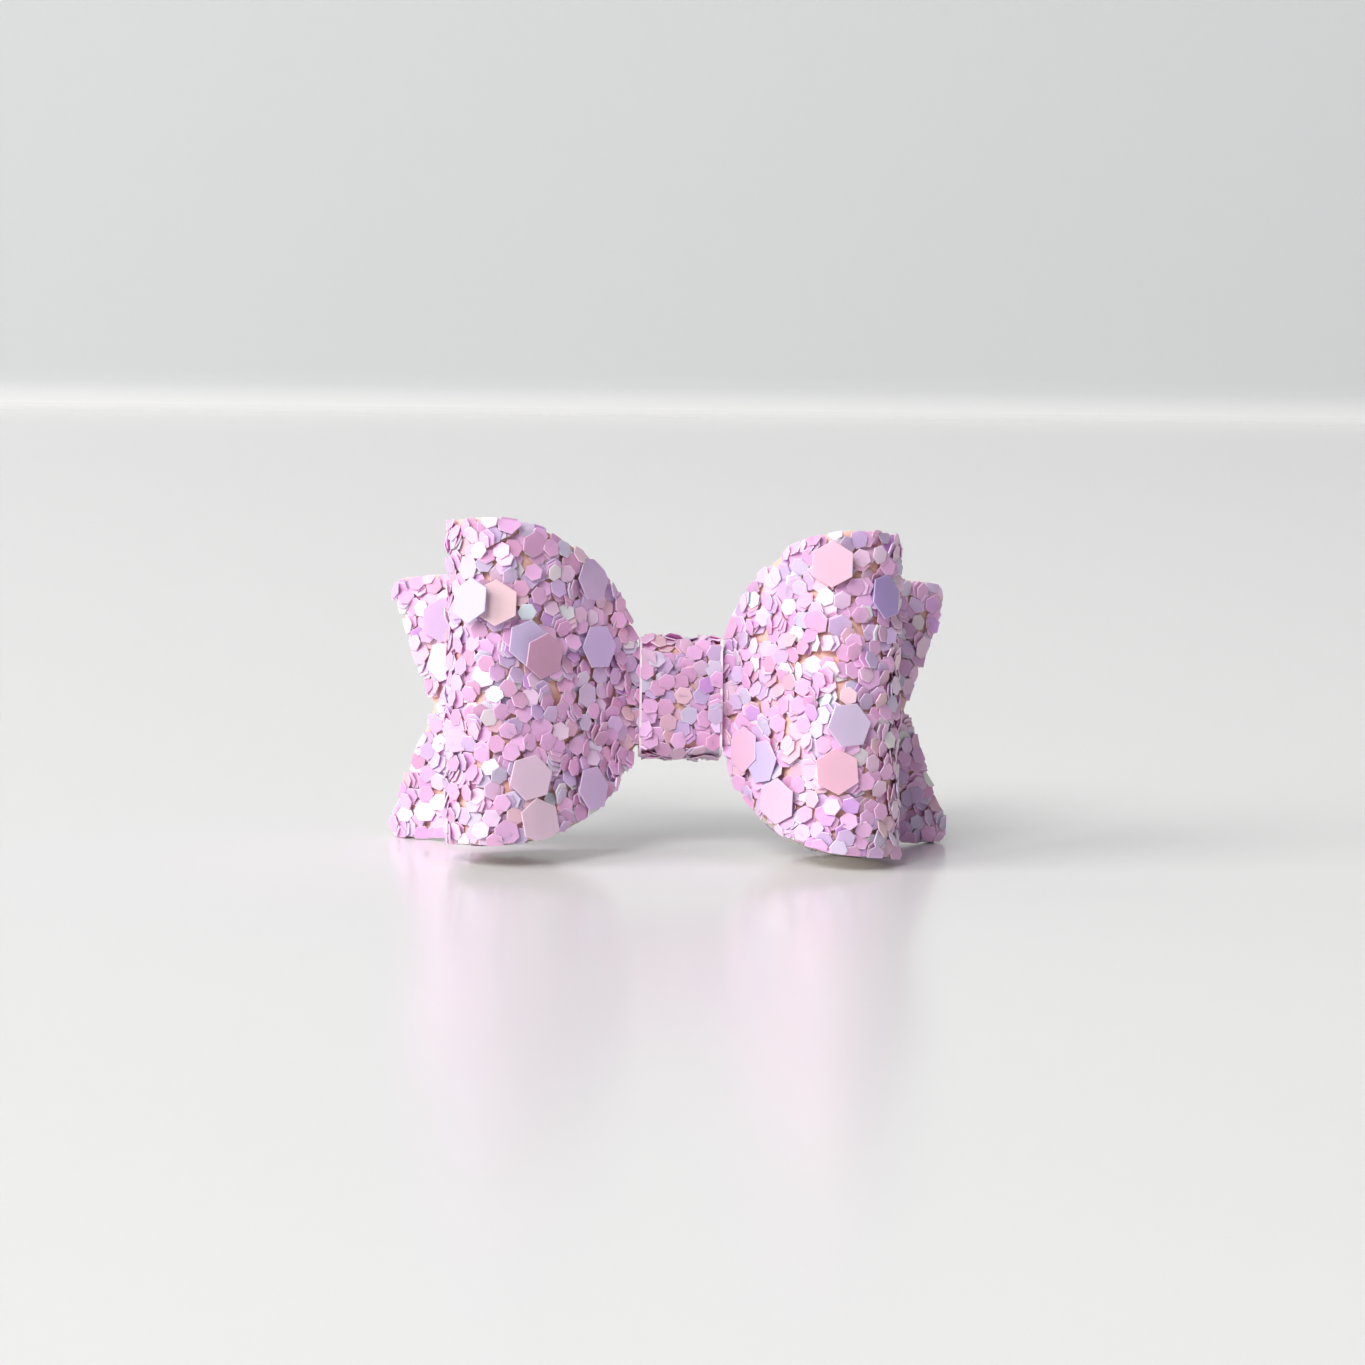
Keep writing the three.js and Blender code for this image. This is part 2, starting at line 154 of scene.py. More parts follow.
links.new(satin.outputs["Result"], shader.inputs["Roughness"])

bends = np.linspace(0, math.pi / 2, 25)
cove = [(WALL_AT - COVE + COVE * math.sin(a), COVE - COVE * math.cos(a)) for a in bends]
sweep = [(-TABLE_HALF, 0.0), *cove, (WALL_AT, WALL_HIGH)]
points = [(x, y, z) for y, z in sweep for x in (-TABLE_HALF, TABLE_HALF)]
faces = [(2 * i, 2 * i + 1, 2 * i + 3, 2 * i + 2) for i in range(len(sweep) - 1)]
table = piece_from("table", points, faces, table_finish)
smooth(table)


def soft_light(name, at, towards, size, watts, tint):
    """A square of soft light that faces a point."""
    data = bpy.data.lights.new(name, "AREA")
    data.size = size
    data.energy = watts
    data.color = tint
    light = bpy.data.objects.new(name, data)
    bpy.context.scene.collection.objects.link(light)
    light.location = at
    light.rotation_mode = "QUATERNION"
    light.rotation_quaternion = (Vector(towards) - Vector(at)).to_track_quat("-Z", "Y")


soft_light("window", (-2.7, -1.05, 1.5), (0, 0, 0.01), 2.0, 90.0, (1.0, 0.985, 0.97))
soft_light("room_front", (-1.15, -2.2, 1.9), (0, 0, 0.01), 1.2, 62.0, (1.0, 0.99, 0.98))
world = bpy.data.worlds.new("room")
bpy.context.scene.world = world
world.use_nodes = True
world.node_tree.nodes["Background"].inputs["Color"].default_value = (0.93, 0.95, 1.0, 1)
world.node_tree.nodes["Background"].inputs["Strength"].default_value = 0.24
bpy.context.scene.view_settings.view_transform = "Standard"

# ---------- loop strip: glitter canvas ----------
# One die-cut strip of woven cotton canvas with glitter stuck on its outer face. It runs from behind the
# waist round both folds, in front of the waist, and laps over its own start, where hot melt holds it.
CANVAS = 0.8
EDGE_BULGE = 0.045
EDGE_RAGGED = 0.03
STEP = 1.1
LOOP_FRONT = -0.4
LOOP_INNER = LOOP_FRONT + STEP
LOOP_OUTER = LOOP_INNER + STEP
WAIST_HALF = 3.75
LOOP_TOP = 13.0
LOOP_BOTTOM = 12.25
LOOP_LEFT = (15.6, 12.35, 2.2)
LOOP_RIGHT = (14.4, 11.1, 2.3)
LOOP_SKEW = math.tan(math.radians(1.2))
LEFT_SIDE = [
    (3.6, LOOP_INNER), (7.7, 0.65), (12.0, 0.25), (15.3, -0.9), (17.65, -3.4), (17.65, -6.7),
    (15.4, -8.7), (12.2, -8.3), (9.0, -6.1), (5.9, -2.8), (3.6, LOOP_FRONT - 0.25),
]
RIGHT_SIDE = [
    (3.6, LOOP_INNER), (7.4, 0.65), (11.3, 0.25), (14.3, -0.9), (16.3, -3.2), (16.25, -6.0),
    (14.4, -8.2), (11.6, -8.65), (8.7, -6.5), (5.75, -2.9), (3.6, LOOP_FRONT - 0.25),
]


def eased(corners, per_span=24):
    """The curve that a strip takes through its corners (centripetal Catmull-Rom)."""
    corners = np.array(corners, float)
    guide = np.vstack([2 * corners[0] - corners[1], corners, 2 * corners[-1] - corners[-2]])
    share = np.linspace(0, 1, per_span, endpoint=False)[:, None]
    curve = []
    for p0, p1, p2, p3 in zip(guide, guide[1:], guide[2:], guide[3:]):
        k0, k1, k2 = (math.sqrt(math.dist(a, b)) for a, b in ((p0, p1), (p1, p2), (p2, p3)))
        leave = ((p1 - p0) / k0 - (p2 - p0) / (k0 + k1) + (p2 - p1) / k1) * k1
        arrive = ((p2 - p1) / k1 - (p3 - p1) / (k1 + k2) + (p3 - p2) / k2) * k1
        curve.append(
            p1 + leave * share + (3 * (p2 - p1) - 2 * leave - arrive) * share**2
            + (2 * (p1 - p2) + leave + arrive) * share**3
        )
    return np.vstack([*curve, corners[-1:]])


def strip_along(path, pitch=0.25):
    """A strip's middle line in even steps: distance, place, direction, and how sharply it bends left."""
    run = np.concatenate([[0], np.cumsum(np.hypot(*np.diff(path, axis=0).T))])
    s = np.linspace(0, run[-1], int(run[-1] / pitch) + 1)
    place = np.stack([np.interp(s, run, path[:, 0]), np.interp(s, run, path[:, 1])], 1)
    along = np.gradient(place, s, axis=0)
    along /= np.linalg.norm(along, axis=1)[:, None]
    bend = np.gradient(np.unwrap(np.arctan2(along[:, 1], along[:, 0])), s)
    return {"s": s, "place": place, "along": along, "bend": bend}


def ripple(s, w):
    """The slight unevenness of canvas bent by hand."""
    return 0.05 * np.sin(0.61 * s + 0.23 * w + 0.4) + 0.04 * np.sin(0.37 * s - 0.71 * w + 2.1)


def on_strip(strip, s, w, off, upright=True):
    """Points at distance s along a strip, w across it and off its middle line towards the glitter.
    Returns them with the strip's direction and its outward normal there."""
    s, w, off = np.broadcast_arrays(np.asarray(s, float), w, off)
    p = np.stack([np.interp(s, strip["s"], strip["place"][:, k]) for k in (0, 1)], -1)
    t = np.stack([np.interp(s, strip["s"], strip["along"][:, k]) for k in (0, 1)], -1)
    t /= np.linalg.norm(t, axis=-1)[..., None]
    n = np.stack([t[..., 1], -t[..., 0]], -1)
    p = p + n * (off + ripple(s, w))[..., None]
    none = np.zeros_like(w)
    if upright:
        return tuple(np.stack([v[..., 0], v[..., 1], c], -1) for v, c in ((p, w), (t, none), (n, none)))
    return tuple(np.stack([c, v[..., 0], v[..., 1]], -1) for v, c in ((p, w), (t, none), (n, none)))


def cut_height(x, full, left, right):
    """Height of a die-cut strip's edge: a narrow waist, then a rounded shoulder. A side is the distance
    from the waist's middle where it is full, the length of its shoulder, and how square that is."""
    full_at, shoulder, square = (np.where(x < 0, a, b) for a, b in zip(left, right))
    across = np.clip((full_at - np.abs(x)) / shoulder, 0, 1)
    return np.maximum(WAIST_HALF, full * (1 - across**square) ** (1 / square))


def skewed(points):
    """The loops sit a little lower to the right."""
    x, y, z = np.moveaxis(points, -1, 0)
    return np.stack([x, y, z - LOOP_SKEW * x], -1)


def corner_map(mesh, name, spots):
    """Gives each corner of a mesh the place of its point on a flat map. Returns each corner's point."""
    corner = np.empty(len(mesh.loops), int)
    mesh.loops.foreach_get("vertex_index", corner)
    mesh.uv_layers.new(name=name).data.foreach_set("uv", spots[corner].ravel())
    return corner


def cloth(name, strip, s, w, under, over, settle, finishes, upright=True):
    """A closed sheet of canvas over a grid of places on a strip, with its two faces and its cut edges.
    The cut edges bulge a little and are ragged, as a die leaves woven threads."""
    rows, columns = s.shape
    ragged = np.random.default_rng(7).normal(0, EDGE_RAGGED, s.shape)
    middle = (under + over) / 2
    layers = []
    for off in (over, middle, under):
        swell = EDGE_BULGE + ragged if off == middle else 0
        wider = w * (1 + swell / np.maximum(3, np.abs(w)))
        layers.append(settle(on_strip(strip, s, wider, off, upright)[0]))
    count = rows * columns
    at = np.arange(count).reshape(rows, columns)
    top, bottom = at, at + 2 * count
    rim = np.concatenate([at[:-1, 0], at[-1, :-1], at[:0:-1, -1], at[0, :0:-1]])
    faces = []
    for a, flip in ((top, 1), (bottom, -1)):
        squares = np.stack([a[:-1, :-1], a[1:, :-1], a[1:, 1:], a[:-1, 1:]], -1).reshape(-1, 4)
        faces.extend(squares[:, ::flip].tolist())
    for upper, lower in ((0, count), (count, 2 * count)):
        for a, b in zip(rim, np.roll(rim, -1)):
            faces.append((int(b + upper), int(a + upper), int(a + lower), int(b + lower)))
    points = np.concatenate([v.reshape(-1, 3) for v in layers])
    made = piece_from(name, on_table(points), faces, finishes[0])
    made.data.materials.append(finishes[1])
    for face in list(made.data.polygons)[: (rows - 1) * (columns - 1)]:
        face.material_index = 1
    mesh = made.data
    corner = corner_map(mesh, "threads", np.tile(np.stack([s.ravel(), w.ravel()], 1), (3, 1)) / 10)
    if len(np.unique(corner)) < len(mesh.vertices):
        work = bmesh.new()
        work.from_mesh(mesh)
        bmesh.ops.delete(work, geom=[v for v in work.verts if not v.link_faces], context="VERTS")
        work.to_mesh(mesh)
        work.free()
    smooth(made)
    return made


def raised_by(nodes, links, shader, height, strength, depth):
    """Lets a pattern stand out of a finish, by a depth in metres."""
    bump = nodes.new("ShaderNodeBump")
    bump.inputs["Strength"].default_value = strength
    bump.inputs["Distance"].default_value = depth
    links.new(height, bump.inputs["Height"])
    links.new(bump.outputs["Normal"], shader.inputs["Normal"])


def cloud_of(nodes, scale, detail=2):
    """A fine random cloud."""
    cloud = nodes.new("ShaderNodeTexNoise")
    cloud.inputs["Scale"].default_value = scale
    cloud.inputs["Detail"].default_value = detail
    return cloud.outputs["Fac"]


def canvas_finish():
    """Unbleached cotton canvas: a plain weave of round threads, a little uneven in colour."""
    finish, nodes, links, shader = start_finish("cotton_canvas", shade(240, 228, 212), 0.85)
    where = nodes.new("ShaderNodeUVMap")
    where.uv_map = "threads"
    waves = []
    for direction in ("X", "Y"):
        wave = nodes.new("ShaderNodeTexWave")
        wave.bands_direction = direction
        wave.inputs["Scale"].default_value = 8.5
        wave.inputs["Distortion"].default_value = 0.6
        wave.inputs["Detail Scale"].default_value = 3
        links.new(where.outputs["UV"], wave.inputs["Vector"])
        waves.append(wave)
    weave = nodes.new("ShaderNodeMath")
    weave.operation = "MAXIMUM"
    links.new(waves[0].outputs["Fac"], weave.inputs[0])
    links.new(waves[1].outputs["Fac"], weave.inputs[1])
    blend = nodes.new("ShaderNodeMath")
    blend.operation = "MULTIPLY_ADD"
    blend.inputs[1].default_value = 0.55
    links.new(weave.outputs[0], blend.inputs[0])
    links.new(cloud_of(nodes, 1800, 4), blend.inputs[2])
    between(nodes, links, shader, blend.outputs[0], (222, 204, 188), (247, 238, 228))
    raised_by(nodes, links, shader, weave.outputs[0], 0.7, 0.00006)
    shader.inputs["Sheen Weight"].default_value = 0.25
    return finish


def bed_with_painted_bounce():
    """The canvas's glitter side: clear glue over a peachy ground coat, with painted rosy shade and pink
    bounce light from the flakes.
    """
    finish, nodes, links, shader = start_finish("glue_bed_painted_bounce", shade(246, 214, 208), 0.4)
    cloud = cloud_of(nodes, 700, 4)
    # The rosy end of this mix is painted shade and pink light bounced from the flakes round it; the peach
    # end is the ground coat.
    between(nodes, links, shader, cloud, (246, 176, 176), (255, 220, 190))
    raised_by(nodes, links, shader, cloud, 0.5, 0.00005)
    shader.inputs["Coat Weight"].default_value = 0.3
    return finish


canvas = (canvas_finish(), bed_with_painted_bounce())
loop_corners = (
    [(3.0, LOOP_INNER), (0, LOOP_INNER)]
    + [(-x, y) for x, y in LEFT_SIDE]
    + [(0, LOOP_FRONT)]
    + RIGHT_SIDE[:0:-1]
    + [(3.6, LOOP_OUTER - 0.1), (0, LOOP_OUTER), (-3.0, LOOP_OUTER)]
)
loop = strip_along(eased(loop_corners))
loop_x = loop["place"][:, 0]
loop_top = cut_height(loop_x, LOOP_TOP, LOOP_LEFT, LOOP_RIGHT)
loop_bottom = cut_height(loop_x, LOOP_BOTTOM, LOOP_LEFT, LOOP_RIGHT)
loop_s = loop["s"][::2]
across = np.linspace(-1, 1, 45)
grid_s, grid_v = np.meshgrid(loop_s, across, indexing="ij")
above = np.interp(loop_s, loop["s"], loop_top)[:, None]
below = np.interp(loop_s, loop["s"], loop_bottom)[:, None]
grid_w = grid_v * np.where(grid_v > 0, above, below)
loop_canvas = cloth("loop_canvas", loop, grid_s, grid_w, -CANVAS / 2, 0.0, skewed, canvas)
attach(loop_canvas, "root")
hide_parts("loop_strip")

# ---------- loop strip: glitter ----------
# Punched hexagons of pearly polyester film, most 1.3 mm across and a few 3.2 mm, shed on wet clear glue.
# They lie on and against each other at all angles, and the die cuts through those at the strip's edge.
FLAKE = 1.3
MIDDLE_FLAKE = 1.8
MIDDLE_ODDS = 0.03
BIG_FLAKE = 3.2
FILM = 0.1
ARRIS = 0.05
# How many are shed on a square millimetre, and what share of them before the large ones.
PER_SQUARE = 1.95
SHED_BEFORE_BIG = 0.72
# How thick the glue is, how high a pile may be, and the cells in which the height is kept.
GLUE = 0.05
PILE = 0.64
HEIGHT_CELL = 0.12
# Flakes slide off each other into fans: the odds of the next one, how far it lies on, and how it is turned.
FAN = 0.5
FAN_STEP = (0.26, 0.46)
FAN_TURN = 0.12
# A flake lies on what is within this share of its radius, and settles until it covers so many hundredths
# of that. It leans with it and a little at random, up to the steepest slope that the glue holds.
FOOTPRINT = 0.9
COVERS = 86
BIG_COVERS = 100
LEAN = 0.15
BIG_LEAN = 0.03
STEEPEST = 0.48
# Small flakes shed late slide off the large ones: nearly always near the middle, never beyond the rim.
SLIDES_OFF = ([1.2, 1.75], [0.97, 0.0])
# How far a flake may stick out past the cut, and the smallest bit of one that stays stuck, as a share of
# a whole one, whose area is so many times its radius squared.
OVERHANG = 0.22
SMALLEST_BIT = 0.2
HEXAGON = 2.6
# How much flakes differ in size, thickness, brightness and hue.
SIZE_SPREAD = (0.96, 1.04)
FILM_SPREAD = (0.85, 1.15)
SHADE_SPREAD = 0.07
HUE_SPREAD = 0.025
# How far each side of the waist's middle the loops have no glitter.
LOOP_BARE = 3.0

# Colours of the small flakes and their odds. The white and the pale aqua are painted glints: flakes coloured
# as if they caught the light.
ORCHID = shade(240, 176, 228)
PALE_ORCHID = shade(246, 200, 236)
LAVENDER = shade(212, 180, 230)
ICE = shade(218, 204, 238)
MAUVE = shade(226, 164, 206)
PEACH = shade(242, 190, 206)
ROSE = shade(220, 168, 194)
PEARL = shade(234, 222, 232)
VIOLET = shade(212, 156, 228)
PAINTED_GLINT = shade(250, 248, 252)
PAINTED_AQUA_GLINT = shade(222, 238, 248)
SMALL_MIX = [
    (ORCHID, 0.38), (PALE_ORCHID, 0.16), (LAVENDER, 0.14), (ICE, 0.09), (MAUVE, 0.10), (PEACH, 0.035),
    (ROSE, 0.02), (PEARL, 0.02), (VIOLET, 0.025), (PAINTED_GLINT, 0.022), (PAINTED_AQUA_GLINT, 0.008),
]


def cut_edges(s, top, bottom, notch=None, ends=False):
    """The cut edges of a strip laid flat: places along them and the outward direction of the cut there."""
    places, outs = [], []
    for sign, outer in ((1, top), (-1, bottom)):
        lines = [(s, outer, 1)] + ([(s, notch, -1)] if notch is not None else [])
        for run, limit, out in lines:
            keep = limit > 0.02 if out < 0 else np.ones(len(run), bool)
            a = np.stack([run[keep], limit[keep]], 1)
            if len(a) < 2:
                continue
            fine = np.concatenate([
                p + np.linspace(0, 1, max(1, int(math.dist(p, q) / 0.2)), endpoint=False)[:, None] * (q - p)
                for p, q in zip(a, a[1:]) if q[0] - p[0] < 1
            ])
            way = np.gradient(fine, axis=0)
            out_way = out * np.stack([-way[:, 1], way[:, 0]], 1)
            out_way /= np.linalg.norm(out_way, axis=1)[:, None] + 1e-12
            places.append(fine * (1, sign))
            outs.append(out_way * (1, sign))
    if ends:
        w = np.arange(-bottom.max(), top.max(), 0.2)
        for end, way in ((s[0], -1), (s[-1], 1)):
            places.append(np.stack([np.full_like(w, end), w], 1))
            outs.append(np.tile((way, 0.0), (len(w), 1)))
    return np.concatenate(places), np.concatenate(outs)


def trimmed(shape, point, outward):
    """What a straight cut leaves of a flat shape."""
    past = (shape - point) @ outward
    kept = []
    for i, here in enumerate(past):
        following = past[(i + 1) % len(past)]
        if here <= 0:
            kept.append(shape[i])
        if (here <= 0) != (following <= 0):
            kept.append(shape[i] + (shape[(i + 1) % len(shape)] - shape[i]) * here / (here - following))
    return np.array(kept)


def shed_flakes(strip, top, bottom, notch, edges, free, seed, per_square, large):
    """Sheds flakes on a strip's glitter face one at a time. Each lies on what is under it, so they pile up.
    Returns each flake's place, flat shape, slopes, height and colour."""
    draw = np.random.default_rng(seed)
    s_cells = np.arange(strip["s"][0], strip["s"][-1], HEIGHT_CELL)
    w_cells = np.arange(-bottom.max() - 0.3, top.max() + 0.3, HEIGHT_CELL)
    S, W = np.meshgrid(s_cells, w_cells, indexing="ij")
    bed = np.full(S.shape, GLUE)
    for _ in range(9):
        way, turn = draw.uniform(0, math.pi), draw.uniform(0, 2 * math.pi)
        pull = 2 * math.pi / draw.uniform(0.9, 2.4)
        bed += 0.011 * np.sin(pull * (S * math.cos(way) + W * math.sin(way)) + turn)
    inside = W <= np.interp(s_cells, strip["s"], top)[:, None]
    inside &= W >= -np.interp(s_cells, strip["s"], bottom)[:, None]
    inside &= np.abs(W) >= np.interp(s_cells, strip["s"], notch)[:, None]
    inside &= free(S, W)
    cells = np.argwhere(inside)
    total = int(len(cells) * HEIGHT_CELL**2 * per_square)
    big_from = int(total * SHED_BEFORE_BIG)
    colours, odds = [c for c, _ in SMALL_MIX], [o for _, o in SMALL_MIX]
    bend_cells = np.interp(s_cells, strip["s"], strip["bend"])
    queue = [None] * big_from + list(large) + [None] * (total - big_from)
    laid = []
    fan = None
    for wanted in queue:
        if wanted is None:
            size = MIDDLE_FLAKE if draw.random() < MIDDLE_ODDS else FLAKE * draw.uniform(*SIZE_SPREAD)
            colour = np.array(colours[draw.choice(len(colours), p=odds)])
            picks = cells[draw.integers(len(cells), size=4)]
            turn, way = draw.uniform(0, math.pi / 3), draw.uniform(0, 2 * math.pi)
            step = np.array([math.cos(way), math.sin(way)]) * draw.uniform(*FAN_STEP) / HEIGHT_CELL
            if fan and draw.random() < FAN:
                i, j = np.round(fan[0] + fan[1]).astype(int)
                if 0 <= i < len(s_cells) and 0 <= j < len(w_cells) and inside[i, j]:
                    picks, step, turn = [(i, j)], fan[1], fan[2] + draw.normal(0, FAN_TURN)
        else:
            s0, w0, colour, turn = wanted
            size, colour = BIG_FLAKE, np.array(colour)
            place = (s0 - s_cells[0], w0 - w_cells[0])
            picks = [tuple(int(round(d / HEIGHT_CELL)) for d in place)]
        radius = size / math.sqrt(3)
        reach = int(radius * FOOTPRINT / HEIGHT_CELL)
        best = None
        for i, j in picks:
            if wanted is None and len(laid) > big_from:
                near = [math.dist((s_cells[i], w_cells[j]), (b[0], b[1])) for b in large]
                if near and draw.random() < np.interp(min(near), *SLIDES_OFF):
                    continue
            patch = (slice(max(0, i - reach), i + reach + 1), slice(max(0, j - reach), j + reach + 1))
            level = bed[patch].mean()
            if best is None or level < best[0]:
                best = (level, i, j, patch)
        if best is None:
            continue
        _, i, j, patch = best
        ds, dw = S[patch] - s_cells[i], W[patch] - w_cells[j]
        under = ds**2 + dw**2 < (FOOTPRINT * radius) ** 2
        ds, dw = ds[under], dw[under]
        fall = bend_cells[i] * ds**2 / 2
        height = bed[patch][under] - fall
        lean = LEAN if wanted is None else BIG_LEAN
        slope_s = float((height - height.mean()) @ ds / (ds @ ds)) + draw.normal(0, lean)
        slope_w = float((height - height.mean()) @ dw / (dw @ dw)) + draw.normal(0, lean)
        steep = math.hypot(slope_s, slope_w)
        if steep > STEEPEST:
            slope_s, slope_w = slope_s * STEEPEST / steep, slope_w * STEEPEST / steep
        rest = height - slope_s * ds - slope_w * dw
        low = float(np.percentile(rest, COVERS if wanted is None else BIG_COVERS))
        if wanted is None and low + FILM > PILE:
            fan = None
            continue
        fan = (np.array([i, j]), step, turn) if wanted is None else None
        film = FILM * draw.uniform(*FILM_SPREAD)
        lying = bed[patch]
        lying[under] = np.maximum(lying[under], low + slope_s * ds + slope_w * dw + fall + film)
        angles = turn + np.arange(6) * math.pi / 3
        shape = radius * np.stack([np.cos(angles), np.sin(angles)], 1)
        here = np.array([s_cells[i], w_cells[j]])
        close = np.linalg.norm(edges[0] - here, axis=1) < radius + 0.1
        spare = OVERHANG * draw.random() ** 2
        for point, outward in zip(edges[0][close], edges[1][close]):
            if len(shape) > 2:
                shape = trimmed(shape, point + spare * outward - here, outward)
        if len(shape) < 3:
            continue
        x, y = shape.T
        if abs(x @ np.roll(y, -1) - y @ np.roll(x, -1)) / 2 < SMALLEST_BIT * HEXAGON * radius**2:
            continue
        tint = np.clip(colour * draw.normal(1, SHADE_SPREAD) * draw.normal(1, HUE_SPREAD, 3), 0, 0.97)
        laid.append((*here, shape, slope_s, slope_w, low, film, tint))
    return laid


def flakes_piece(name, strip, laid, settle, finish, upright=True):
    """All the flakes of one strip: closed hexagons of film with a worn arris. Each has its own colour, with
    a painted highlight paler along the arris and painted shade deeper at the foot."""
    points, faces, tints_with_painted_light, spots = [], [], [], []
    across_sheet = math.ceil(math.sqrt(len(laid)))
    s, w, low = (np.array([f[k] for f in laid]) for k in (0, 1, 5))
    base, along, out = on_strip(strip, s, w, low, upright)
    over = np.array([0.0, 0, 1]) if upright else np.array([1.0, 0, 0])
    for k, (_, _, shape, slope_s, slope_w, _, film, tint) in enumerate(laid):
        normal = out[k] - slope_s * along[k] - slope_w * over
        normal /= np.linalg.norm(normal)
        e1 = along[k] + slope_s * out[k]
        e1 /= np.linalg.norm(e1)
        e2 = np.cross(normal, e1)
        centre = shape.mean(0)
        arms = shape - centre
        radius = np.linalg.norm(arms, axis=1).max()
        first, sides = len(points), len(shape)
        cell = np.array([k % across_sheet, k // across_sheet]) + 0.5
        for inset, lift, spread in ((ARRIS, film, 0.36), (0, film - ARRIS * 0.6, 0.40), (0, 0, 0.44)):
            ring = centre + arms * (1 - inset / max(radius, 0.2))
            points.extend(base[k] + ring[:, :1] * e1 + ring[:, 1:] * e2 + lift * normal)
            spots.extend((cell + arms / radius * spread) / across_sheet)
        # The top keeps the flake's colour; the paler arris is a painted highlight and the deeper foot is
        # painted shade.
        for tone_with_painted_light in (tint, 0.45 * tint + 0.5, tint**1.3):
            tints_with_painted_light.extend([(*tone_with_painted_light, 1.0)] * sides)
        ring = [list(range(first + r * sides, first + (r + 1) * sides)) for r in range(3)]
        faces.append(ring[0])
        for upper, lower in ((ring[0], ring[1]), (ring[1], ring[2])):
            for i in range(sides):
                j = (i + 1) % sides
                faces.append((upper[j], upper[i], lower[i], lower[j]))
        faces.append(ring[2][::-1])
    made = piece_from(name, on_table(settle(np.array(points))), faces, finish)
    mesh = made.data
    mesh.attributes.new("flake_colour_with_painted_light", "FLOAT_COLOR", "POINT").data.foreach_set("color", np.ravel(tints_with_painted_light))
    corner_map(mesh, "OFBake", np.array(spots))
    return made


def flake_finish():
    """Pearly film: milky, a little mottled inside, with a clear face that shifts colour in its shine."""
    finish, nodes, links, shader = start_finish("pearl_film", ORCHID, 0.3)
    # Each flake's colour, with its painted highlight along the arris and painted shade at the foot.
    own = nodes.new("ShaderNodeAttribute")
    own.attribute_name = "flake_colour_with_painted_light"
    depth = nodes.new("ShaderNodeMapRange")
    depth.inputs["From Min"].default_value = 0.3
    depth.inputs["From Max"].default_value = 0.7
    depth.inputs["To Min"].default_value = 0.0
    depth.inputs["To Max"].default_value = 0.14
    links.new(cloud_of(nodes, 1500, 3), depth.inputs["Value"])
    milky = nodes.new("ShaderNodeMix")
    milky.data_type = "RGBA"
    milky.inputs["B"].default_value = (*shade(246, 226, 240), 1)
    links.new(depth.outputs["Result"], milky.inputs["Factor"])
    links.new(own.outputs["Color"], milky.inputs["A"])
    links.new(milky.outputs["Result"], shader.inputs["Base Color"])
    raised_by(nodes, links, shader, cloud_of(nodes, 9000), 0.35, 0.000008)
    shader.inputs["Coat Weight"].default_value = 0.3
    shader.inputs["Coat Roughness"].default_value = 0.12
    shader.inputs["Thin Film Thickness"].default_value = 340
    shader.inputs["Thin Film IOR"].default_value = 1.6
    shader.inputs["Subsurface Weight"].default_value = 0.4
    shader.inputs["Subsurface Radius"].default_value = (1.0, 0.75, 0.9)
    shader.inputs["Subsurface Scale"].default_value = 0.0005
    return finish


pearl_film = flake_finish()


def front_distance(strip, x):
    """How far along the loop strip its front face stands at x."""
    front = (strip["place"][:, 1] < -0.1) & (strip["along"][:, 0] > 0.2)
    return float(np.interp(x, strip["place"][front, 0], strip["s"][front]))


# The large flakes on the loops: where across the front, how high, colour and turn. The one at -16.0 on the
# left fold is coloured darker than it looks, painted shade that holds its highlight down.
LOOP_BIG = [
    (-7.6, 8.8, shade(198, 180, 226), 0.05), (-7.2, 3.5, shade(196, 180, 230), 0.1),
    (-12.3, 3.4, shade(200, 182, 224), 0.4), (-11.3, 2.4, shade(208, 160, 186), 0.5),
    (-14.6, 6.4, shade(244, 196, 204), 0.5), (-16.0, 6.5, shade(160, 168, 224), 0.55),
    (-12.1, -7.0, shade(228, 192, 220), 0.3), (-7.6, -7.6, shade(206, 186, 226), 0.2),
    (-11.4, -10.4, shade(238, 200, 222), 0.7), (11.7, 10.2, shade(248, 184, 200), 0.5),
    (12.7, -2.2, shade(212, 194, 230), 0.15), (12.0, -5.8, shade(244, 190, 208), 0.6),
    (8.1, -8.2, shade(214, 184, 208), 0.4), (7.0, -5.1, shade(202, 192, 240), 0.1),
    (5.6, -4.2, shade(238, 184, 212), 0.6), (15.3, 8.0, shade(170, 150, 212), 0.3),
]
loop_big = [(front_distance(loop, x), z, colour, turn) for x, z, colour, turn in LOOP_BIG]
loop_edges = cut_edges(loop["s"], loop_top, loop_bottom)


def clear_of_waist(s, w):
    return np.abs(np.interp(s, loop["s"], loop["place"][:, 0])) > LOOP_BARE


no_notch = np.zeros_like(loop_top)
loop_laid = shed_flakes(
    loop, loop_top, loop_bottom, no_notch, loop_edges, clear_of_waist, 11, PER_SQUARE, loop_big
)
loop_flakes = flakes_piece("loop_flakes", loop, loop_laid, skewed, pearl_film)
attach(loop_flakes, "root")

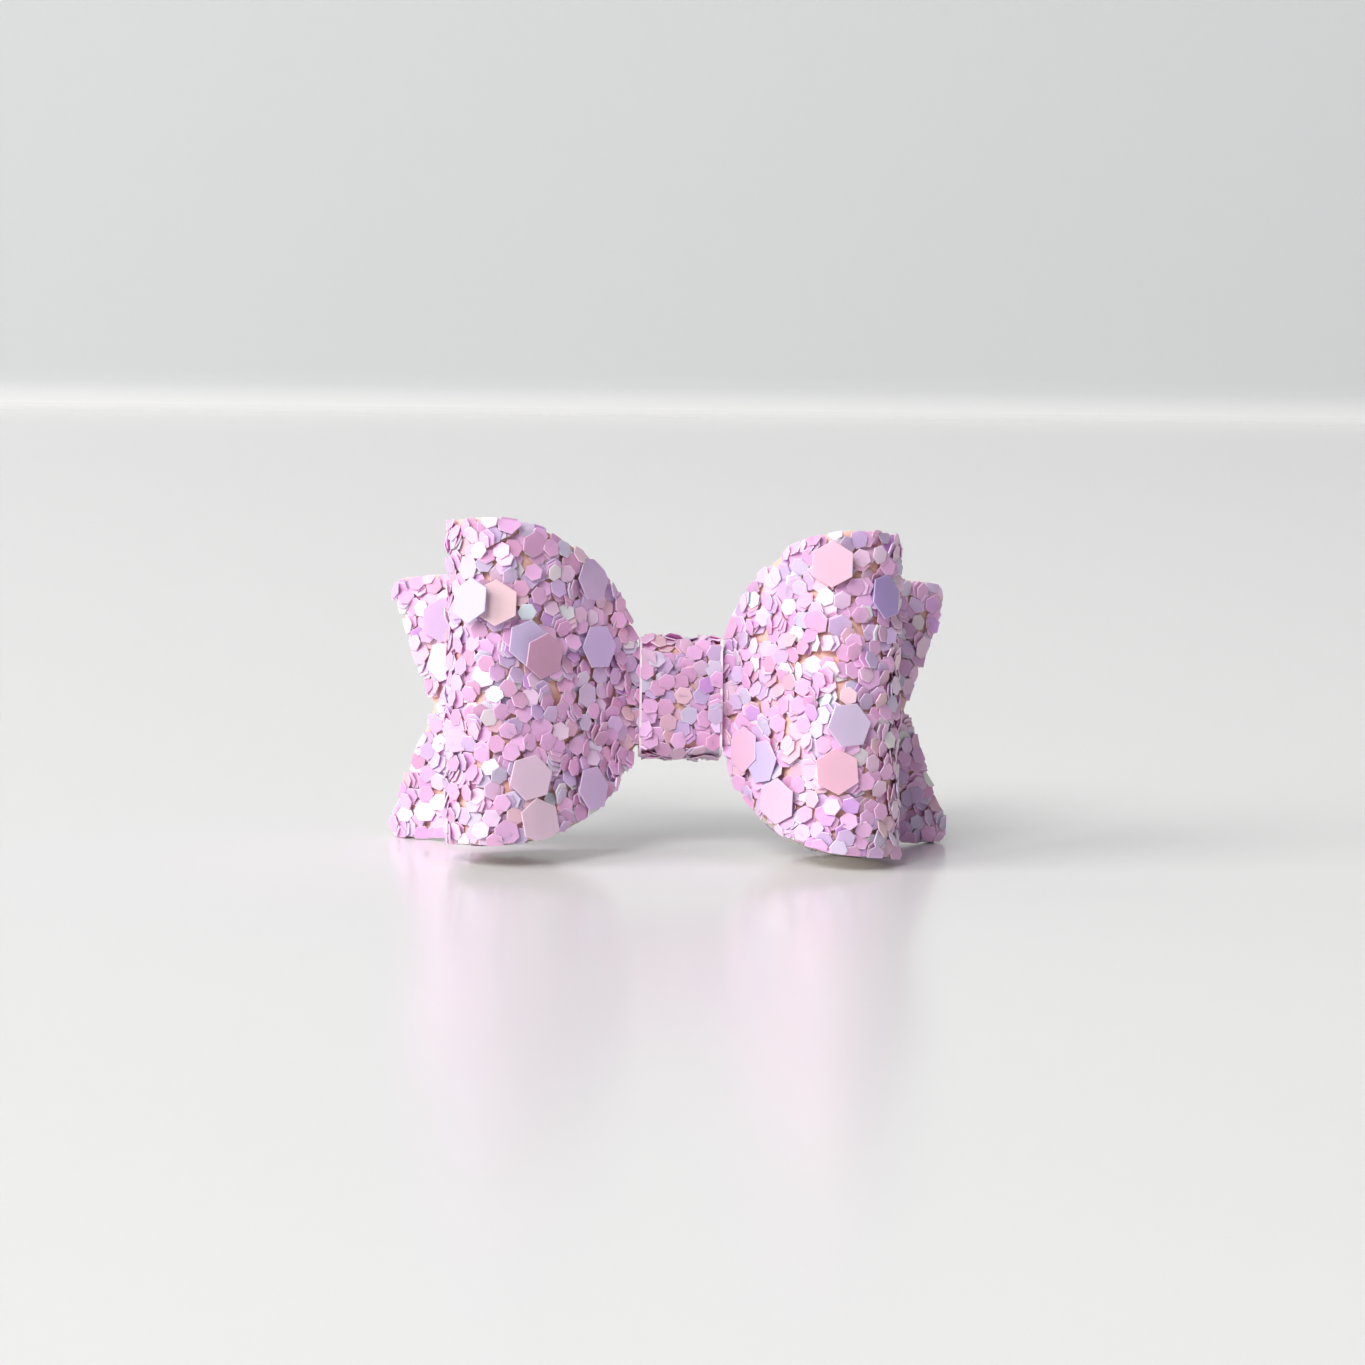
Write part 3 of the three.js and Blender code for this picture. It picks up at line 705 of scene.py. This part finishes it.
# ---------- tail piece: glitter canvas ----------
# A second die-cut strip with a V in each end, glued flat behind the loops. Its ends are bent back by hand
# and hang a little, so they stand on the table behind the loops.
TAIL_MIDDLE = LOOP_OUTER + STEP
TAIL_HALF = 10.6
TAIL_LEFT = (19.6, 17.0, 2.0)
TAIL_RIGHT = (18.3, 15.6, 2.0)
LEFT_REACH = 23.2
RIGHT_REACH = 21.7
TAIL_NOTCH = 3.4
NOTCH_HALF = 9.4
TIP_SHORT = [0, 0.1, 0.6, 3]
TIP_HALF = [NOTCH_HALF, 10.1, 10.5, TAIL_HALF]
TAIL_HELD = 3.25
TAIL_SWEEP = 5.0
TAIL_SWEEP_FROM = 12.0
TAIL_DROOP = 0.77


def reach_of(x):
    """How far the tail on that side reaches from the middle of the waist."""
    return np.where(x < 0, LEFT_REACH, RIGHT_REACH)


tail_x = np.linspace(-LEFT_REACH - 0.6, RIGHT_REACH + 0.6, 260)
tail_past = np.clip((np.abs(tail_x) - TAIL_SWEEP_FROM) / (reach_of(tail_x) - TAIL_SWEEP_FROM), 0, None)
tail = strip_along(np.stack([tail_x, TAIL_MIDDLE + TAIL_SWEEP * tail_past**1.5], 1))
tail_x = tail["place"][:, 0]
short_of_tip = reach_of(tail_x) - np.abs(tail_x)
tail_half = cut_height(tail_x, TAIL_HALF, TAIL_LEFT, TAIL_RIGHT)
tail_half = np.minimum(tail_half, np.interp(short_of_tip, TIP_SHORT, TIP_HALF))
tail_notch = np.clip((TAIL_NOTCH - short_of_tip) / TAIL_NOTCH, 0, None) * NOTCH_HALF


def hanging(points):
    """The tails droop a little from the wrap outwards."""
    x, y, z = np.moveaxis(points, -1, 0)
    hangs = np.clip(np.abs(x) - TAIL_HELD, 0, None) / (reach_of(x) - TAIL_HELD)
    return np.stack([x, y, z - TAIL_DROOP * hangs], -1)


across = np.linspace(-1, 1, 41)
short = np.interp(np.abs(across), [0, 0.887, 0.953, 0.99, 1], [TAIL_NOTCH, 0, 0.1, 0.6, 0.8])
share = np.linspace(-1, 1, 95)[:, None]
grid_x = share * (reach_of(share) - short)
grid_s = np.interp(grid_x, tail_x, tail["s"])
grid_w = across[None, :] * cut_height(grid_x, TAIL_HALF, TAIL_LEFT, TAIL_RIGHT)
tail_canvas = cloth("tail_canvas", tail, grid_s, grid_w, -CANVAS / 2, 0.0, hanging, canvas)
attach(tail_canvas, "root")
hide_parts("tail_piece")
tail_on = short_of_tip >= 0

# ---------- tail piece: glitter ----------
# The same flakes as on the loops, stuck on the tails' front face. The loops and the wrap cover the middle,
# which is bare where the wrap grips it.
TAIL_BARE = 3.6


def tail_distance(x):
    return float(np.interp(x, tail_x, tail["s"]))


def tail_free(s, w):
    x = np.interp(s, tail["s"], tail_x)
    return (np.abs(x) > TAIL_BARE) & (np.abs(x) < reach_of(x))


TAIL_BIG = [
    (-18.6, 3.6, shade(228, 184, 214), 0.3), (-18.9, 6.8, shade(214, 184, 220), 0.5),
]
tail_big = [(tail_distance(x), z, colour, turn) for x, z, colour, turn in TAIL_BIG]
tail_edges = cut_edges(tail["s"][tail_on], tail_half[tail_on], tail_half[tail_on], tail_notch[tail_on])
tail_laid = shed_flakes(
    tail, tail_half, tail_half, tail_notch, tail_edges, tail_free, 23, PER_SQUARE, tail_big
)
tail_flakes = flakes_piece("tail_flakes", tail, tail_laid, hanging, pearl_film)
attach(tail_flakes, "root")

# ---------- centre wrap ----------
# A short straight strip of the same glitter canvas, bent round the waist of the loops and the tails. A thin
# lip of dried glue stands along both of its cut edges. Its ends butt at the back, where hot melt holds them.
WRAP_HALF = 3.25
WRAP_FRONT = LOOP_FRONT - STEP
WRAP_BACK = TAIL_MIDDLE + STEP
WRAP_TOP = WAIST_HALF + 0.1 + CANVAS / 2
WRAP_BEND = 1.0
WRAP_SEAM = 0.3


def wrap_corner(y, z, to_y, to_z, bend_y, bend_z):
    """A corner of the wrap's ring, from one side to the next."""
    t = np.linspace(0, 1, 12, endpoint=False)[:, None]
    a, b, c = np.array([y, z]), np.array([bend_y, bend_z]), np.array([to_y, to_z])
    return (1 - t) ** 2 * a + 2 * t * (1 - t) * b + t**2 * c


B = WRAP_BEND
wrap_path = np.vstack([
    [(WRAP_BACK, WRAP_SEAM / 2)],
    wrap_corner(WRAP_BACK, WRAP_TOP - B, WRAP_BACK - B, WRAP_TOP, WRAP_BACK, WRAP_TOP),
    wrap_corner(WRAP_FRONT + B, WRAP_TOP, WRAP_FRONT, WRAP_TOP - B, WRAP_FRONT, WRAP_TOP),
    wrap_corner(WRAP_FRONT, -WRAP_TOP + B, WRAP_FRONT + B, -WRAP_TOP, WRAP_FRONT, -WRAP_TOP),
    wrap_corner(WRAP_BACK - B, -WRAP_TOP, WRAP_BACK, -WRAP_TOP + B, WRAP_BACK, -WRAP_TOP),
    [(WRAP_BACK, -WRAP_TOP + B), (WRAP_BACK, -WRAP_SEAM / 2)],
])
wrap = strip_along(wrap_path, 0.15)


def as_made(points):
    return points


def tube_faces(rings, sides, flip=False):
    """The faces of a closed bar made of rings of points, with both ends capped."""
    at = np.arange(rings * sides).reshape(rings, sides)
    beside = np.roll(at, -1, 1)
    faces = np.stack([at[:-1], at[1:], beside[1:], beside[:-1]], -1).reshape(-1, 4).tolist()
    faces += [at[0].tolist(), at[-1, ::-1].tolist()]
    return [face[::-1] for face in faces] if flip else faces


across = np.linspace(-1, 1, 15)
grid_s, grid_v = np.meshgrid(wrap["s"][::2], across, indexing="ij")
grid_w = grid_v * WRAP_HALF
wrap_canvas = cloth("wrap_canvas", wrap, grid_s, grid_w, -CANVAS / 2, 0.0, as_made, canvas, upright=False)
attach(wrap_canvas, "root")
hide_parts("centre_wrap")

# The lips: how wide each is on the wrap and past its edge, its foot, its crest, and how high each one is.
WRAP_LIP = 0.14
LIP_OUT = 0.05
LIP_FOOT = -0.3
LIP_LIFT = 0.44
LIP_SHARE = {"wrap_lip_left": 1.0, "wrap_lip_right": 0.85}
lip_finish, nodes, links, shader = start_finish("dried_glue", shade(252, 238, 246), 0.3)
between(nodes, links, shader, cloud_of(nodes, 1600), (246, 214, 232), (255, 248, 252))
lip_s = wrap["s"]
lip_lift = LIP_LIFT + 0.05 * np.sin(1.9 * lip_s) + 0.03 * np.sin(5.3 * lip_s + 1)
lip_inner, lip_outer = WRAP_HALF - WRAP_LIP, WRAP_HALF + LIP_OUT
for side, name in ((-1, "wrap_lip_left"), (1, "wrap_lip_right")):
    crest = lip_lift * LIP_SHARE[name]
    section = ((lip_inner, LIP_FOOT), (lip_outer, LIP_FOOT), (lip_outer, crest), (lip_inner, crest))
    rings = np.stack([on_strip(wrap, lip_s, side * w, off, upright=False)[0] for w, off in section], 1)
    faces = tube_faces(*rings.shape[:2], flip=side > 0)
    lip = piece_from(name, on_table(rings.reshape(-1, 3)), faces, lip_finish)
    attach(lip, "root")
wrap_half = np.full_like(wrap["s"], WRAP_HALF - WRAP_LIP)
wrap_edges = cut_edges(wrap["s"], wrap_half, wrap_half, ends=True)


def wrap_free(s, w):
    return (s > WRAP_SEAM) & (s < wrap["s"][-1] - WRAP_SEAM)


WRAP_PER_SQUARE = 2.0
no_notch = np.zeros_like(wrap_half)
wrap_laid = shed_flakes(
    wrap, wrap_half, wrap_half, no_notch, wrap_edges, wrap_free, 31, WRAP_PER_SQUARE, []
)
wrap_flakes = flakes_piece("wrap_flakes", wrap, wrap_laid, as_made, pearl_film, upright=False)
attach(wrap_flakes, "root")

# ---------- hot melt ----------
# Pressed pads of clear-white hot-melt glue between the layers, and a thicker bead of it that holds the
# clip's fixed jaw to the wrap. They set glossy and a little cloudy, with a faint unevenness.
def refinish(name, finish):
    """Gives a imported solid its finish."""
    frame["nodes"][name].data.materials.clear()
    frame["nodes"][name].data.materials.append(finish)


melt, nodes, links, shader = start_finish("hot_melt", shade(238, 232, 214), 0.22)
cloud = cloud_of(nodes, 900, 3)
between(nodes, links, shader, cloud, (226, 216, 192), (246, 242, 230))
raised_by(nodes, links, shader, cloud, 0.4, 0.00008)
shader.inputs["Subsurface Weight"].default_value = 0.2
shader.inputs["Subsurface Scale"].default_value = 0.0008
for name in ("waist_glue", "lap_glue", "tail_glue", "wrap_glue"):
    refinish(name, melt)

# The bead: half its length and height, its two faces, and its outline from one to the other, as a share of
# its reach at a share of its depth. Its rim bulges and is lumpy where it was squeezed out.
BEAD = (3.1, 2.4)
BEAD_FRONT = 4.45
BEAD_BACK = 4.95
BEAD_RIM_FROM = 0.93
BEAD_OUTLINE = (
    (0.05, 0), (0.6, 0), (0.9, 0), (0.97, 0.12), (1.03, 0.4),
    (1.03, 0.7), (0.96, 0.93), (0.88, 1), (0.05, 1),
)
around = np.linspace(0, 2 * math.pi, 96, endpoint=False)
swell = 1 + 0.035 * np.sin(3 * around + 0.7) + 0.03 * np.sin(5 * around + 2.1) + 0.012 * np.sin(11 * around)
oval = (np.abs(np.cos(around)) ** 3 + np.abs(np.sin(around)) ** 3) ** (1 / 3)
rings = []
for share, depth in BEAD_OUTLINE:
    lumps = 1 + 0.04 * math.sin(9 * depth) * np.sin(7 * around + 4 * depth)
    reach = share * swell * (lumps if share > BEAD_RIM_FROM else 1) / oval
    behind = np.full_like(around, BEAD_FRONT + (BEAD_BACK - BEAD_FRONT) * depth)
    wide, tall = BEAD[0] * reach * np.cos(around), BEAD[1] * reach * np.sin(around)
    rings.append(np.stack([wide, behind, tall], -1))
rings = np.array(rings)
faces = tube_faces(*rings.shape[:2])
glue_bead = piece_from("glue_bead", on_table(rings.reshape(-1, 3)), faces, melt)
smooth(glue_bead)
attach(glue_bead, "root")
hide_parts("clip_glue")

# ---------- clip ----------
# Two jaws stamped from plated steel strip, joined by a riveted pin. The steel is barrel plated, so it is
# bright, with a faint grain and fine handling marks.
steel, nodes, links, shader = start_finish("nickel_plate", shade(206, 207, 210), 0.26)
shader.inputs["Metallic"].default_value = 1.0
grain = cloud_of(nodes, 700, 6)
dull = nodes.new("ShaderNodeMapRange")
dull.inputs["To Min"].default_value = 0.18
dull.inputs["To Max"].default_value = 0.38
links.new(grain, dull.inputs["Value"])
links.new(dull.outputs["Result"], shader.inputs["Roughness"])
between(nodes, links, shader, grain, (190, 190, 194), (222, 223, 226))
for name in ("fixed_jaw", "moving_jaw", "hinge_pin"):
    refinish(name, steel)

# ---------- spring ----------
# One drawn steel wire: a leg along the fixed lever, a coil round the pin and a leg along the moving lever.
# The last leg goes with the moving jaw, so it is a piece of its own, lapped into the end of the coil.
COIL = 0.69
WIRE = 0.14
WIRE_SIDES = 12
COIL_PITCH = 0.38
COIL_TURNS = 4 + 150 / 360
COIL_ENDS_EARLY = 0.12
COIL_LAP = 0.4
LAP_EASE = 0.003
FIXED_LEG = 5.3
MOVING_LEG = 6.4
LEVER_SPREAD = math.radians(30)


def on_coil(turned):
    """Points of the coil after so many turns, seen from its first end."""
    angle = -math.pi / 2 - 2 * math.pi * turned
    x = PIN_BEHIND[0] + COIL * np.cos(angle)
    y = PIN_BEHIND[1] + COIL * np.sin(angle)
    return np.stack([x, y, (turned - COIL_TURNS / 2) * COIL_PITCH], -1)


def wire_along(name, route, radius, finish):
    """A round wire along a route, with a ring of points at each step."""
    ahead = np.gradient(route, axis=0)
    ahead /= np.linalg.norm(ahead, axis=1)[:, None]
    side = np.array([0.0, 0, 1])
    rings = []
    for place, way in zip(route, ahead):
        side = side - (side @ way) * way
        side /= np.linalg.norm(side)
        third = np.cross(way, side)
        rings.append([
            place + radius * (math.cos(a) * side + math.sin(a) * third)
            for a in np.linspace(0, 2 * math.pi, WIRE_SIDES, endpoint=False)
        ])
    faces = tube_faces(len(rings), WIRE_SIDES, flip=True)
    made = piece_from(name, on_table(np.array(rings).reshape(-1, 3)), faces, finish)
    for face in made.data.polygons:
        face.use_smooth = len(face.vertices) == 4
    return made


wire, nodes, links, shader = start_finish("spring_wire", shade(150, 148, 146), 0.35)
shader.inputs["Metallic"].default_value = 1.0
between(nodes, links, shader, cloud_of(nodes, 1200), (128, 126, 124), (176, 174, 170))
coil = on_coil(np.linspace(0, COIL_TURNS - COIL_ENDS_EARLY, 140))
fixed_leg = coil[0] + np.array([1.0, 0, 0]) * np.linspace(FIXED_LEG, 0.1, 8)[:, None]
spring_coil = wire_along("spring_coil", np.vstack([fixed_leg, coil]), WIRE, wire)
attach(spring_coil, "root")
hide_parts("jaw_spring")
lap = on_coil(np.linspace(COIL_TURNS - COIL_LAP, COIL_TURNS, 16))
leg_way = np.array([math.cos(LEVER_SPREAD), math.sin(LEVER_SPREAD), 0])
moving_leg = lap[-1] + leg_way * np.linspace(0.1, MOVING_LEG, 8)[:, None]
spring_leg = wire_along("spring_leg", np.vstack([lap, moving_leg]), WIRE - LAP_EASE, wire)
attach(spring_leg, "jaw")

# ---------- ribbon on the jaw ----------
# A narrow polyester grosgrain ribbon, woven with ribs across it and a flat selvedge down each side. It is
# folded round the fixed jaw's tip and glued, along the jaw's front to the hinge and back inside the bite.
RIBBON_HALF = 2.7
RIBBON_AT = 5.15
RIBBON_BITE = 6.05
RIBBON_TIP = -16.7
RIBBON_ENDS = (8.0, 2.8)
FOLD = 0.25
RIB = 0.5
GROOVE = 0.085
RIB_RISE = 0.055
SELVEDGE = 0.1
SELVEDGE_EDGE = 0.06
turn = np.linspace(0, math.pi / 2, 6)
ribbon_path = np.vstack([
    [(RIBBON_ENDS[0], RIBBON_AT)],
    np.stack([RIBBON_TIP + FOLD - FOLD * np.sin(turn), RIBBON_AT + FOLD - FOLD * np.cos(turn)], 1),
    np.stack([RIBBON_TIP + FOLD - FOLD * np.cos(turn), RIBBON_BITE - FOLD + FOLD * np.sin(turn)], 1),
    [(RIBBON_ENDS[1], RIBBON_BITE)],
])
ribbon_strip = strip_along(ribbon_path, RIB / 8)
ribbon_s = ribbon_strip["s"]
across_half = np.array([0.35, 0.7, 0.92, 0.95, 0.985, 1])
across = RIBBON_HALF * np.concatenate([-across_half[::-1], [0], across_half])
S, W = np.meshgrid(ribbon_s, across, indexing="ij")
ribs = GROOVE + RIB_RISE * np.abs(np.sin(math.pi * S / RIB)) ** 0.7
outermost = np.abs(W) > 0.99 * RIBBON_HALF
thick = np.where(np.abs(W) > 0.93 * RIBBON_HALF, SELVEDGE, ribs)
thick = np.where(outermost, SELVEDGE_EDGE, thick)
W = W + 0.02 * np.sin(2 * math.pi * S / RIB) * outermost
outward = np.stack([ribbon_strip["along"][:, 1], -ribbon_strip["along"][:, 0]], 1)[:, None]
both_faces = []
for side, order in ((1, slice(None)), (-1, slice(None, None, -1))):
    place = ribbon_strip["place"][:, None] + side * thick[..., None] * outward
    both_faces.append(np.concatenate([place, W[..., None]], -1)[:, order])
rings = np.concatenate(both_faces, 1)
ribbon, nodes, links, shader = start_finish("grosgrain", shade(238, 200, 226), 0.6)
where = nodes.new("ShaderNodeUVMap")
where.uv_map = "threads"
weft = nodes.new("ShaderNodeTexWave")
weft.bands_direction = "X"
weft.inputs["Scale"].default_value = math.pi / RIB
weft.inputs["Distortion"].default_value = 0.3
links.new(where.outputs["UV"], weft.inputs["Vector"])
between(nodes, links, shader, weft.outputs["Fac"], (214, 160, 200), (244, 210, 236))
raised_by(nodes, links, shader, weft.outputs["Fac"], 0.5, 0.00003)
shader.inputs["Sheen Weight"].default_value = 0.3
faces = tube_faces(*rings.shape[:2])
grosgrain = piece_from("grosgrain_ribbon", on_table(rings.reshape(-1, 3)), faces, ribbon)
flat = np.stack([S, W], -1)
corner_map(grosgrain.data, "threads", np.concatenate([flat, flat[:, ::-1]], 1).reshape(-1, 2) / 10)
smooth(grosgrain)
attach(grosgrain, "root")
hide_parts("jaw_lining")
